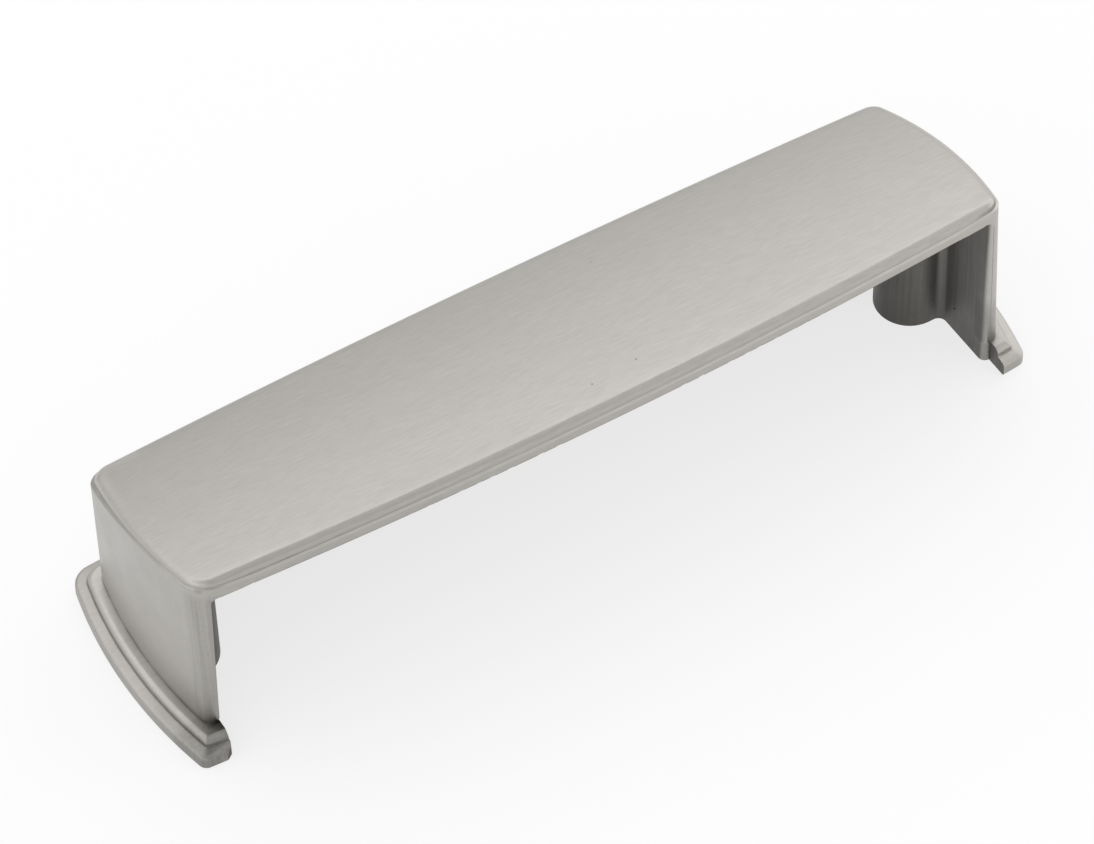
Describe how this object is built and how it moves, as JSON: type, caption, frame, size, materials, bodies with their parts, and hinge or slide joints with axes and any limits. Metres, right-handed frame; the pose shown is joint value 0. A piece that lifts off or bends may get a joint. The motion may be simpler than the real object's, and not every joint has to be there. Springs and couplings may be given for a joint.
{
  "type": "cup pull",
  "caption": "Drawer cup pull: a tilted, gently crowned front over a finger hollow, with bowed end walls, a closed back wall, a stepped base moulding and tapped screw bosses.",
  "frame": {"origin": "midway between the two screw holes, on the mounting face", "axes": "+X along the length, +Z away from the drawer front, finger side open towards -Y"},
  "size_m": [0.1112, 0.0319, 0.027],
  "materials": {
    "satin_nickel": "brushed satin nickel plate"
  },
  "bodies": {
    "root": {"cup_pull": "satin_nickel"}
  },
  "joints": []
}
